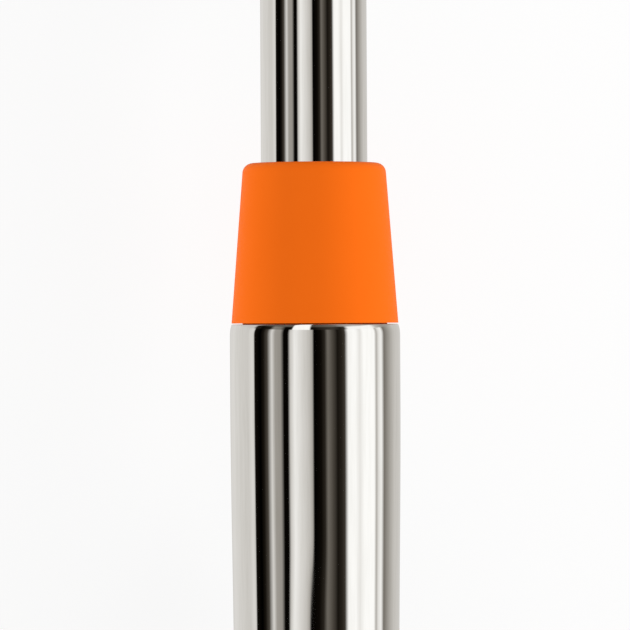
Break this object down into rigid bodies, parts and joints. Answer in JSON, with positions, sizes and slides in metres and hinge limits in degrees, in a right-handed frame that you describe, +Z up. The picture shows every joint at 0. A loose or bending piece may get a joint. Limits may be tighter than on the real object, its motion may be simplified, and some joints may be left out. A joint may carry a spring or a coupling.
{
  "type": "carpet knee kicker",
  "caption": "Telescoping carpet stretching tool: toothed gripping head with a pin depth dial, tapered collar, chrome tubes, length lock lever and a padded knee bumper.",
  "frame": {"origin": "on the floor, under the middle of the bounding box, with the tool at its shortest and its pins drawn in", "axes": "+X points from the knee bumper to the gripping head, +Z is up, +Y is to the left of a user looking along +X"},
  "size_m": [0.4655, 0.156, 0.143],
  "materials": {
    "chrome_tube": "polished chrome plate",
    "chrome_cast": "chrome plate over a casting",
    "orange_plastic": "satin moulded plastic",
    "orange_knob": "satin moulded plastic",
    "screw_steel": "zinc plated",
    "black_screw": "black oxide",
    "spring_steel": "bright spring wire",
    "black_nylon": "satin moulded nylon",
    "black_paint": "satin powder coat",
    "lever_steel": "zinc plated pressed steel",
    "socket_alloy": "bead blasted die casting",
    "carriage_alloy": "machined",
    "cap_steel": "zinc plated sheet",
    "hard_steel": "hardened and tempered",
    "plywood": "raw plywood",
    "black_vinyl": "grained vinyl upholstery",
    "foam": "upholstery foam"
  },
  "bodies": {
    "tube_and_bumper": {"outer_tube": "chrome_tube", "tube_collar": "orange_plastic", "collar_screw": "screw_steel", "lock_bracket": "black_paint", "lever_pivot_pin": "screw_steel", "lever_spring": "spring_steel", "bumper_socket": "socket_alloy", "socket_set_screws": "black_screw", "bumper_plate": "black_paint", "flange_bolts": "screw_steel", "tee_nuts": "screw_steel", "plate_screws": "screw_steel", "pad_board": "plywood", "pad_foam": "foam", "pad_cover": "black_vinyl"},
    "lock_lever": {"lock_lever": "lever_steel", "lever_grip": "orange_knob"},
    "head_assembly": {"inner_tube": "chrome_tube", "rear_guide_bush": "black_nylon", "bush_pin": "screw_steel", "head_housing": "chrome_cast", "neck_roll_pins": "screw_steel", "nap_blades": "hard_steel", "blade_spacers": "screw_steel", "blade_tie_rods": "screw_steel", "tie_rod_nuts": "screw_steel", "guide_screws": "screw_steel", "return_spring_front": "spring_steel", "return_spring_rear": "spring_steel", "detent_ball": "screw_steel", "detent_spring": "spring_steel"},
    "pin_carriage": {"pin_carriage": "carriage_alloy", "gripper_pins": "hard_steel", "pin_cap_plate": "cap_steel", "cap_plate_screws": "screw_steel"},
    "depth_dial": {"depth_dial": "orange_knob", "dial_screw": "screw_steel", "dial_cam": "hard_steel"}
  },
  "joints": [
    {"name": "length_slide", "type": "slide", "parent": "tube_and_bumper", "child": "head_assembly", "axis": [0.9925, 0, -0.1219], "range_m": [0, 0.084]},
    {"name": "lock_lever_pivot", "type": "hinge", "parent": "tube_and_bumper", "child": "lock_lever", "pos_m": [-0.05888, 0, 0.02346], "axis": [0, 1, 0], "range_deg": [0, 10], "stiffness_Nm_per_rad": 0.6, "springref_deg": -17.19, "deforming": ["lever_spring"]},
    {"name": "pin_depth_slide", "type": "slide", "parent": "head_assembly", "child": "pin_carriage", "axis": [0, 0, -1], "range_m": [0, 0.007], "deforming": ["return_spring_front", "return_spring_rear"]},
    {"name": "depth_dial_turn", "type": "hinge", "parent": "head_assembly", "child": "depth_dial", "pos_m": [0.17485, 0, 0.044], "axis": [0, 0, 1], "range_deg": [0, 300]}
  ],
  "couplings": [
    {"joint": "depth_dial_turn", "follows": "pin_depth_slide", "rad_per_m": 748}
  ]
}
